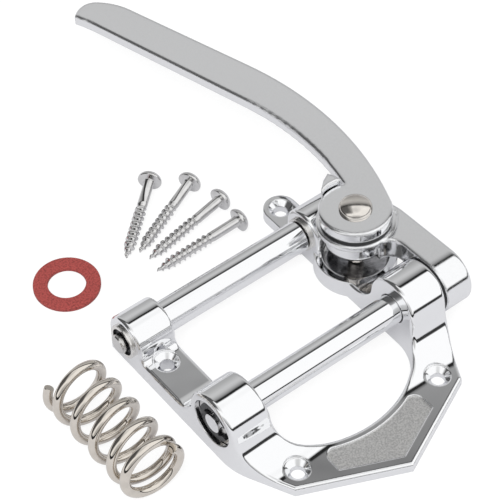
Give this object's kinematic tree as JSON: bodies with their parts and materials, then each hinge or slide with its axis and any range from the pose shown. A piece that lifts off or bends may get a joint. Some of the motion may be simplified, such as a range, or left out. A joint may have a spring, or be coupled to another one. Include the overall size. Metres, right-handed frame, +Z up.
{
  "type": "guitar vibrato tailpiece",
  "caption": "Horseshoe guitar vibrato tailpiece with a turning string bar, a tension roller and a swing arm on a sprung bracket, with its spring, washer and screws laid beside it.",
  "frame": {"origin": "midway between the two tail screw holes, on the face that meets the guitar", "axes": "+X along the bars towards the swing arm, +Y from the tail point to the front, +Z up from the guitar's top"},
  "size_m": [0.1336, 0.212, 0.0291],
  "materials": {
    "chrome_casting": "bright chrome plate over a polished casting",
    "chrome_bar": "bright chrome plate over turned bar",
    "bright_steel": "turned steel",
    "bush_metal": "satin turned bush",
    "warm_nickel": "bright nickel plate, slightly warm",
    "black_oxide": "black oxide spring steel",
    "black_nylon": "matt black washer",
    "red_fibre": "matt vulcanised fibre"
  },
  "bodies": {
    "frame": {"frame": "chrome_casting", "bearing_left": "bright_steel", "bearing_right": "bright_steel", "clip_washer": "bright_steel", "bracket_washer": "black_nylon", "tension_bush_left": "bush_metal", "tension_bush_right": "bush_metal"},
    "bracket": {"string_bar": "chrome_bar", "string_pins": "bright_steel", "bar_clip": "black_oxide", "arm_bracket": "chrome_casting", "bracket_grub_screw": "bright_steel", "arm_washer": "black_nylon", "pivot_bolt": "warm_nickel", "pivot_nut": "bright_steel", "pivot_lock_washer": "bright_steel"},
    "arm": {"arm": "chrome_casting"},
    "roller": {"tension_roller": "chrome_bar", "tension_shaft": "bright_steel"},
    "spring": {"spring": "warm_nickel"},
    "fibre_washer": {"fibre_washer": "red_fibre"},
    "wood_screws": {"wood_screws": "warm_nickel"}
  },
  "joints": [
    {"name": "bracket_tilt", "type": "hinge", "parent": "frame", "child": "bracket", "pos_m": [0, 0.0227, 0.0134], "axis": [1, 0, 0], "range_deg": [0, 30]},
    {"name": "arm_swing", "type": "hinge", "parent": "bracket", "child": "arm", "pos_m": [0.0384, 0.05167, 0.01137], "axis": [0, 0.0698, 0.9976], "range_deg": [-180, 0]},
    {"name": "roller_spin", "type": "hinge", "parent": "frame", "child": "roller", "pos_m": [0, 0.0658, 0.0099], "axis": [1, 0, 0], "continuous": true},
    {"name": "spring_lift", "type": "slide", "parent": "frame", "child": "spring", "axis": [0, 0, 1], "range_m": [0, 0.05]},
    {"name": "washer_lift", "type": "slide", "parent": "frame", "child": "fibre_washer", "axis": [0, 0, 1], "range_m": [0, 0.05]},
    {"name": "screws_lift", "type": "slide", "parent": "frame", "child": "wood_screws", "axis": [0, 0, 1], "range_m": [0, 0.05]}
  ]
}
